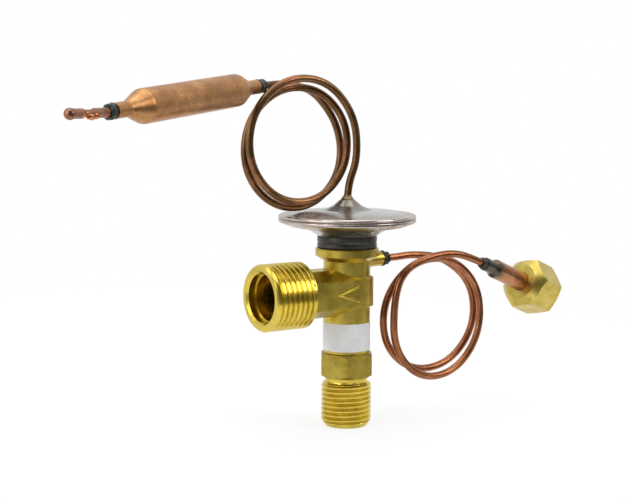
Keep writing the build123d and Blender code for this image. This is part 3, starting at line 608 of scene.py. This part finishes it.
weld = {"radius": 0.00034, "reach": 0.02145, "drop": 0.0001, "roughness": (0.00004, 0.0012)}
weldPlace = Matrix.Translation((weld["reach"], 0, rimBottom - weld["drop"])) @ Matrix.Rotation(math.pi / 2, 4, "X")
weldBead = bmesh.new()
bmesh.ops.create_circle(weldBead, segments=10, radius=weld["radius"], matrix=weldPlace)
bmesh.ops.spin(weldBead, geom=list(weldBead.verts) + list(weldBead.edges), cent=(0, 0, 0), axis=(0, 0, 1),
               dvec=(0, 0, 0), angle=math.tau, steps=180, use_merge=True, use_duplicate=False)
bmesh.ops.remove_doubles(weldBead, verts=weldBead.verts, dist=1e-7)
bmesh.ops.recalc_face_normals(weldBead, faces=weldBead.faces)
roughen(weldBead, *weld["roughness"])
dress(finishMesh(weldBead, "rimWeld"), "tintedWeld", "stainless_head", "valve")

collar = {"radius": 0.0095, "socket": 0.00697, "bore": 0.0060, "bottom": 0.0543, "edge": 0.0002}
collarRing = bmesh.new()
collarTop = valve["collarTop"]
turnProfile(collarRing, [
    (collar["bore"], collar["bottom"]), (collar["socket"], collar["bottom"]), (collar["socket"], collarTop),
    (collar["radius"] - 0.0004, collarTop), (collar["radius"], collarTop + 0.0004),
    (collar["radius"], collarTop + 0.0014), (collar["radius"] - 0.0002, collarTop + 0.0016),
    (collar["radius"] - 0.0002, collarTop + 0.0019), (collar["radius"], collarTop + 0.0021),
    (collar["radius"], baseZ), (collar["bore"], baseZ)], 128)
softenRings(collarRing, collar["edge"] / 2, 2, 20)
dress(finishMesh(collarRing, "headCollar"), "darkCollar", "dark_collar", "valve", "head_collar")

solder = bmesh.new()
turnProfile(solder, [(valve["tubeHole"], nozzleTop - 0.0001), (0.0021, nozzleTop - 0.0001),
                     (0.0019, nozzleTop + 0.0004), (0.0015, nozzleTop + 0.0008), (0.00126, nozzleTop + 0.0013),
                     (valve["tubeHole"], nozzleTop + 0.0013)], 40)
softenRings(solder, 0.0001, 2, 14)
roughen(solder, 0.00006, 0.0006)
dress(finishMesh(solder, "nozzleSolder"), "paleSolder", "head_solder", "valve", "head_braze")
print("head done")


# label

label = {"radius": 0.00757, "inner": 0.00746, "bottom": 0.0247, "height": 0.0089, "lap": 26, "lapTurn": 40,
         "lapThickness": 0.00008, "lapSink": 0.00002, "lapInset": (0.00005, 0.00012)}
band = bmesh.new()
turnProfile(band, [(label["inner"], label["bottom"]), (label["radius"], label["bottom"]),
                   (label["radius"], label["bottom"] + label["height"]),
                   (label["inner"], label["bottom"] + label["height"])], 128)
lap = bmesh.new()
flapEnds = (label["lapInset"][0], label["height"] - label["lapInset"][1])
flap = [lap.verts.new((label["radius"] - label["lapSink"], 0, label["bottom"] + at)) for at in flapEnds]
bmesh.ops.spin(lap, geom=flap + [lap.edges.new(flap)], cent=(0, 0, 0), axis=(0, 0, 1), dvec=(0, 0, 0),
               angle=math.radians(label["lap"]), steps=12, use_merge=False, use_duplicate=False)
bmesh.ops.recalc_face_normals(lap, faces=lap.faces)
bmesh.ops.solidify(lap, geom=list(lap.faces), thickness=label["lapThickness"])
bmesh.ops.recalc_face_normals(lap, faces=lap.faces)
bmesh.ops.rotate(lap, cent=(0, 0, 0), matrix=Matrix.Rotation(math.radians(label["lapTurn"]), 3, "Z"),
                 verts=lap.verts)
dress(finishMesh(joinShells(band, lap), "labelBand"), "labelPaper", "label_paper", "valve", "label_band")


# capillary and bulb


def coilCorners(spec, base):
    # corners of a coil wound about Y; the curve rounds each corner off, so they lie outside its radius
    perTurn, rounding, lean = 8, 0.928, 0.1
    corners = []
    for index in range(spec["count"]):
        turns = index / perTurn
        angle = math.radians(spec["firstAngle"] + spec["hand"] * index * 360 / perTurn)
        reachX = (spec["radius"][0] + spec["growth"][0] * turns) / rounding
        reachZ = (spec["radius"][1] + spec["growth"][1] * turns) / rounding
        corners.append(((spec["centre"][0] + spec["drift"][0] * turns + reachX * math.cos(angle)),
                        spec["pitch"] * (turns + lean),
                        (spec["centre"][1] + spec["drift"][1] * turns + reachZ * math.sin(angle)) + base))
    return corners


def axisVector(turn, drop, side):
    flat = math.cos(math.radians(drop))
    return Vector((side * flat * math.cos(math.radians(turn)), side * flat * math.sin(math.radians(turn)),
                   -math.sin(math.radians(drop))))


capillary = {"centre": (-0.0164, 0.0197), "radius": (0.0191, 0.0188), "drift": (0.0001, -0.0024),
             "growth": (-0.0003, -0.0004), "pitch": 0.0035, "firstAngle": 20, "count": 17, "hand": 1,
             "lead": [(0, 0, -0.0019), (0, 0, 0.0042), (0.0040, 0, 0.0128)],
             "exit": [(-0.0068, 0.0076, 0.0336), (-0.0158, 0.0082, 0.0362)]}
bulb = {"start": (-0.0297, 0.0050, 0.10805), "axis": axisVector(25, 5.3, -1), "radius": 0.0049,
        "neckRadius": 0.0022, "neckLength": 0.0048, "coneLength": 0.0064, "barrelLength": 0.0459,
        "shoulder": 0.0005, "socket": 0.0030, "brazeRadius": 0.00235, "brazeLength": 0.0042,
        "endLip": 0.0010, "fillBrazeLength": 0.0027, "fillDrop": 0.3}
bulbStart = Vector(bulb["start"])
corners = [(x, y, z + nozzleTop) for x, y, z in capillary["lead"]]
corners += coilCorners(capillary, nozzleTop)
corners += [(x, y, z + nozzleTop) for x, y, z in capillary["exit"]]
corners += [tuple(bulbStart + bulb["axis"] * t) for t in (-0.0060, bulb["brazeLength"] / 2 + bulb["socket"])]
dress(tubePiece("capillaryCoil", corners, valve["tubeRadius"]), "capillaryCopper", "capillary_copper",
      "valve", "capillary_tube")

neckAt = bulb["brazeLength"] / 2
coneAt = neckAt + bulb["neckLength"]
barrelAt = coneAt + bulb["coneLength"]
barrelEnd = barrelAt + bulb["barrelLength"]
coneEnd = barrelEnd + bulb["coneLength"]
bulbEnd = coneEnd + bulb["neckLength"]
onBulb = axisMatrix(bulbStart, bulb["axis"])
bulbShell = bmesh.new()
turnProfile(bulbShell, [(0, neckAt + bulb["socket"]), (valve["tubeHole"], neckAt + bulb["socket"]),
                        (valve["tubeHole"], neckAt), (bulb["neckRadius"], neckAt), (bulb["neckRadius"], coneAt),
                        (bulb["radius"], barrelAt), (bulb["radius"], barrelEnd), (bulb["neckRadius"], coneEnd),
                        (bulb["neckRadius"], bulbEnd + bulb["endLip"]), (0, bulbEnd + bulb["endLip"])],
            closed=False)
shoulders = [e for e in bulbShell.edges if e.calc_face_angle(0) > math.radians(20)
             and all(coneAt - 0.001 < v.co.z < coneEnd + 0.001 for v in e.verts)]
bmesh.ops.bevel(bulbShell, geom=shoulders, offset=bulb["shoulder"], offset_type="OFFSET", segments=6, profile=0.5,
                affect="EDGES", material=-1, clamp_overlap=True)
place(bulbShell, onBulb)
dress(finishMesh(bulbShell, "sensingBulb", 40), "bulbCopper", "bulb_copper", "valve", "bulb_shell")


def brazeLump(name, matrix, outline, node, seed):
    bm = bmesh.new()
    turnProfile(bm, outline, 40)
    softenRings(bm, 0.00018, 2, 14)
    bmesh.ops.subdivide_edges(bm, edges=bm.edges, cuts=1, use_grid_fill=True)
    roughen(bm, 0.00022, 0.0011, seed)
    place(bm, matrix)
    dress(finishMesh(bm, name, 60), "sootyBraze", "braze_metal", "valve", node)


def sleeveOutline(bore, radius, start, length):
    # a sleeve with rounded ends and a slight waist
    middle, end = start + length * 0.5, start + length
    return [(bore, start), (radius - 0.0006, start + 0.0001), (radius, start + 0.0006), (radius - 0.0002, middle),
            (radius, end - 0.0006), (radius - 0.0006, end - 0.0001), (bore, end)]


brazeBore = 0.00119
brazeLump("bulbNeckBraze", onBulb, sleeveOutline(brazeBore, bulb["brazeRadius"], -neckAt, bulb["brazeLength"]),
          "bulb_braze", 1.3)
brazeLump("fillNeckBraze", onBulb, sleeveOutline(0.00134, bulb["brazeRadius"] + 0.0001, bulbEnd + bulb["endLip"],
                                                 bulb["fillBrazeLength"]), "fill_braze", 4.1)

fillTube = copyNode("fill_tube")
bmesh.ops.subdivide_edges(fillTube, edges=[e for e in fillTube.edges if e.calc_length() > 0.0012], cuts=2)
dress(finishMesh(fillTube, "fillTube", 50), "fillCopper", "bulb_copper", "valve", "fill_tube")
fillBend = bulbStart + bulb["axis"] * (bulbEnd + bulb["brazeLength"] + 0.0008)
fillAxis = axisVector(25, bulb["fillDrop"], -1)
drops = {"spots": [(0.0030, 0.0003, 0.0007), (0.0044, -0.0006, 0.0010), (0.0062, -0.0009, 0.0011),
                   (0.0078, 0.0001, 0.0010), (0.0094, -0.0004, 0.0009)],
         "front": 0.0007, "stretch": 1.5, "roughness": (0.00025, 0.0012)}
fillFront = fillAxis.cross(Vector((0, 0, 1))).normalized() * -drops["front"]
lumps = bmesh.new()
for at, lift, size in drops["spots"]:
    centre = fillBend + fillAxis * at + fillFront + Vector((0, 0, lift))
    matrix = axisMatrix(centre, fillAxis) @ Matrix.Diagonal((1, 1, drops["stretch"], 1))
    bmesh.ops.create_icosphere(lumps, subdivisions=3, radius=size, matrix=matrix)
roughen(lumps, *drops["roughness"], 7.7)
dress(finishMesh(lumps, "fillDrops", 70), "redDrops", "bulb_copper", "valve")
print("capillary and bulb done")


# equalizer line

equalizer = {"centre": (0.0318, -0.0190), "radius": (0.0204, 0.01775), "drift": (0, -0.00067),
             "growth": (-0.0009, 0.00125), "pitch": -0.0044, "firstAngle": 70, "count": 15, "hand": -1,
             "lead": (0.0260, -0.0003, 0.0006),
             "exit": [(0.0156, -0.0089, -0.0036), (0.0245, -0.0093, 0.0004), (0.0360, -0.0098, 0.0015)]}
stub = {"start": (0.0494, -0.0096, 0.0497), "axis": axisVector(10, 21.3, 1), "heatReach": (0.0045, 0.0095),
        "soot": (0.07, 0.085, 0.07)}
bossZ = valve["bossZ"]
stubStart = Vector(stub["start"])
corners = [(0.0102, 0, bossZ), (0.0193, 0, bossZ), tuple(Vector(equalizer["lead"]) + Vector((0, 0, bossZ)))]
corners += coilCorners(equalizer, bossZ)
corners += [(x, y, z + bossZ) for x, y, z in equalizer["exit"]]
corners += [tuple(stubStart + stub["axis"] * t) for t in (-0.0055, 0.0030)]
dress(tubePiece("equalizerCoil", corners, valve["tubeRadius"]), "equalizerCopper", "equalizer_copper",
      "valve", "equalizer_tube")
onBoss = axisMatrix((0.0135, 0, bossZ), (1, 0, 0))
brazeLump("bossBraze", onBoss, [(brazeBore, -0.0002), (0.0026, -0.0002), (0.0027, 0.0003), (0.0026, 0.0008),
                                (0.0021, 0.0012), (0.0022, 0.0017), (0.0022, 0.0023), (0.0019, 0.0028),
                                (brazeBore, 0.0029)], "equalizer_braze", 2.2)
onStub = axisMatrix(stubStart, stub["axis"])
brazeLump("stubBraze", onStub, [(brazeBore, -0.0022), (0.0019, -0.0019), (0.0021, -0.0006), (0.0023, 0.0006),
                                (0.0023, 0.0018), (0.00225, 0.0030), (brazeBore, 0.0030)], "stub_braze", 9.4)
heatStained("stubCopper", stub["start"], tuple(stub["axis"]), stub["heatReach"], stub["soot"])
dress(finishMesh(copyNode("equalizer_stub"), "stubTube", 30), "stubCopper", "equalizer_copper", "valve",
      "equalizer_stub")

nut = {"turn": 14, "pitch": 0.00127, "crest": 0.00495, "root": 0.00566, "from": 0.0263, "turns": 4.6,
       "steps": 72, "boreFrom": 0.0259, "boreTo": 0.0327, "boreWas": (0.0048, 0.0051), "boreRadius": 0.0056}
nutShell = copyNode("flare_nut")
toNut = onStub.inverted()
for vert in nutShell.verts:
    local = toNut @ vert.co
    reach = math.hypot(local.x, local.y)
    if nut["boreFrom"] < local.z < nut["boreTo"] and nut["boreWas"][0] < reach < nut["boreWas"][1]:
        local.xy *= nut["boreRadius"] / reach
    vert.co = onStub @ (Matrix.Rotation(math.radians(nut["turn"]), 4, "Z") @ local)
ridge = bmesh.new()
wedge = [ridge.verts.new((reach, 0, nut["from"] + at * nut["pitch"]))
         for reach, at in ((nut["root"], -0.46), (nut["crest"], -0.07), (nut["crest"], 0.07), (nut["root"], 0.46))]
wedgeFace = ridge.faces.new(wedge)
bmesh.ops.spin(ridge, geom=wedge + list(ridge.edges) + [wedgeFace], cent=(0, 0, 0), axis=(0, 0, 1),
               dvec=(0, 0, nut["pitch"] / nut["steps"]), angle=math.tau * nut["turns"],
               steps=int(nut["steps"] * nut["turns"]), use_merge=False, use_duplicate=False)
bmesh.ops.recalc_face_normals(ridge, faces=ridge.faces)
place(ridge, onStub)
dress(finishMesh(joinShells(nutShell, ridge), "flareNut", 24), "nutBrass", "bright_brass", "nut", "flare_nut")
print("equalizer line done")


# pieces that show only through the openings

# the spring shortens between the seat and the ball carrier; here it is only cut at its middle into a lower and an
# upper half
springLow, springHigh = (corner.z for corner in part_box("superheat_spring"))
springMid = (springLow + springHigh) / 2
springEnds = {"springLowerHalf": (1, "spring_seat", "valve", springLow, springMid),
              "springUpperHalf": (-1, "valve", "stem", springMid, springHigh)}
for name, (side, fromBody, toBody, start, end) in springEnds.items():
    half = copyNode("superheat_spring")
    cutAndCap(half, (0, 0, springMid), (0, 0, side), ring=False)
    piece = finishMesh(half, name)
    piece.data.materials.append(looks["plainSteel"])
    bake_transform(piece)
    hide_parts("superheat_spring")

inner = {
    "inlet_strainer": "innerBrass", "adjusting_nut": "innerBrass", "spring_seat_washer": "plainSteel",
    "ball_carrier": "innerBrass", "valve_ball": "plainSteel",
    "valve_seat": "plainSteel", "push_rod": "plainSteel", "rod_seal": "sealRubber",
    "seal_retainer": "plainSteel", "head_gasket": "gasketFibre", "diaphragm": "plainSteel",
    "thrust_plate": "plainSteel"}
for node, look in inner.items():
    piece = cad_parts[node]
    piece.data.materials.clear()
    piece.data.materials.append(looks[look])
print("inner pieces dressed")


# floor, light and camera

roomLook = {"darkSide": (0.12, -0.98, 0.05),
            "tones": [(0.0, (0.90, 0.91, 0.93)), (0.30, (0.55, 0.56, 0.57)), (0.70, (0.15, 0.15, 0.15))]}
stageLook = {"floorColour": (0.90, 0.90, 0.90), "clear": 0.05, "white": 0.24, "nearGlow": 0.70, "size": 0.26,
             "centre": (-0.014, 0.110), "drop": 0.00005, "farSide": (-0.05, 0.20)}
floorMesh = bmesh.new()
bmesh.ops.create_circle(floorMesh, cap_ends=True, segments=64, radius=stageLook["size"],
                        matrix=Matrix.Translation((*stageLook["centre"], -stageLook["drop"])))
bmesh.ops.subdivide_edges(floorMesh, edges=floorMesh.edges, cuts=1)
floor = finishMesh(floorMesh, "floor")
floorMaterial = bpy.data.materials.new("paleFloor")
floorMaterial.use_nodes = True
tree = floorMaterial.node_tree
tree.nodes.clear()
output = tree.nodes.new("ShaderNodeOutputMaterial")
matte = tree.nodes.new("ShaderNodeBsdfDiffuse")
matte.inputs["Color"].default_value = (*stageLook["floorColour"], 1)
glow = tree.nodes.new("ShaderNodeEmission")
glow.inputs["Strength"].default_value = 1.0
rays = tree.nodes.new("ShaderNodeLightPath")
side = tree.nodes.new("ShaderNodeVectorMath")
side.operation = "DOT_PRODUCT"
side.inputs[1].default_value = roomLook["darkSide"]
tree.links.new(objectCoords(tree), side.inputs[0])
farSide = spread(tree, side.outputs["Value"], *stageLook["farSide"], (1.0, 0.0))
mirrored = calc(tree, "MULTIPLY", rays.outputs["Is Glossy Ray"], farSide)
seen = calc(tree, "MAXIMUM", rays.outputs["Is Camera Ray"], rays.outputs["Is Transmission Ray"])
seen = calc(tree, "MAXIMUM", seen, mirrored)
flat = objectCoords(tree, scale=(1, 1, 0), location=tuple(-part for part in stageLook["centre"]) + (0,))
away = tree.nodes.new("ShaderNodeVectorMath")
away.operation = "LENGTH"
tree.links.new(flat, away.inputs[0])
fade = spread(tree, away.outputs["Value"], stageLook["clear"], stageLook["white"], (stageLook["nearGlow"], 1.0))
mixer = tree.nodes.new("ShaderNodeMixShader")
tree.links.new(calc(tree, "MULTIPLY", seen, fade), mixer.inputs[0])
tree.links.new(matte.outputs[0], mixer.inputs[1])
tree.links.new(glow.outputs[0], mixer.inputs[2])
tree.links.new(mixer.outputs[0], output.inputs[0])
floor.data.materials.append(floorMaterial)

world = bpy.data.worlds.new("studio")
bpy.context.scene.world = world
world.use_nodes = True
tree = world.node_tree
tree.nodes.clear()
output = tree.nodes.new("ShaderNodeOutputWorld")
room = tree.nodes.new("ShaderNodeBackground")
backdrop = tree.nodes.new("ShaderNodeBackground")
backdrop.inputs["Color"].default_value = (1, 1, 1, 1)
room.inputs["Strength"].default_value = 1.0
facing = tree.nodes.new("ShaderNodeTexCoord")
toward = tree.nodes.new("ShaderNodeVectorMath")
toward.operation = "DOT_PRODUCT"
toward.inputs[1].default_value = roomLook["darkSide"]
tree.links.new(facing.outputs["Generated"], toward.inputs[0])
tree.links.new(ramp(tree, toward.outputs["Value"], roomLook["tones"]), room.inputs["Color"])
rays = tree.nodes.new("ShaderNodeLightPath")
seen = calc(tree, "MAXIMUM", rays.outputs["Is Camera Ray"], rays.outputs["Is Transmission Ray"])
mixer = tree.nodes.new("ShaderNodeMixShader")
tree.links.new(seen, mixer.inputs[0])
tree.links.new(room.outputs[0], mixer.inputs[1])
tree.links.new(backdrop.outputs[0], mixer.inputs[2])
tree.links.new(mixer.outputs[0], output.inputs[0])

lamps = {
    "topLamp": ((-0.05, -0.02, 0.95), 1.00, 5.0),
    "frontLamp": ((0.46, -0.58, 0.50), 0.40, 2.2),
    "leftLamp": ((-0.90, -0.10, 0.45), 0.70, 2.8),
}
lampTarget = (0, 0, 0.06)
for name, (at, size, power) in lamps.items():
    light = bpy.data.lights.new(name, "AREA")
    light.shape = "SQUARE"
    light.size = size
    light.energy = power
    lamp = bpy.data.objects.new(name, light)
    aim = (Vector(lampTarget) - Vector(at)).to_track_quat("-Z", "Y")
    lamp.matrix_world = Matrix.Translation(at) @ aim.to_matrix().to_4x4()
    bpy.context.scene.collection.objects.link(lamp)

view = {"place": (-0.26688, -0.37115, 0.10870), "right": (0.8259, -0.5637, 0.0042), "up": (0.0607, 0.0963, 0.9935),
        "lens": 83.33, "sensor": 36, "nearest": 0.01}
cameraData = bpy.data.cameras.new("camera")
cameraData.lens = view["lens"]
cameraData.sensor_width = view["sensor"]
cameraData.clip_start = view["nearest"]
camera = bpy.data.objects.new("camera", cameraData)
bpy.context.scene.collection.objects.link(camera)
right, up = Vector(view["right"]).normalized(), Vector(view["up"]).normalized()
back = right.cross(up).normalized()
turn = Matrix((right, back.cross(right), back)).transposed().to_4x4()
camera.matrix_world = Matrix.Translation(view["place"]) @ turn
bpy.context.scene.camera = camera
bpy.context.scene.view_settings.view_transform = "Standard"
print("stage, lamps and camera done")
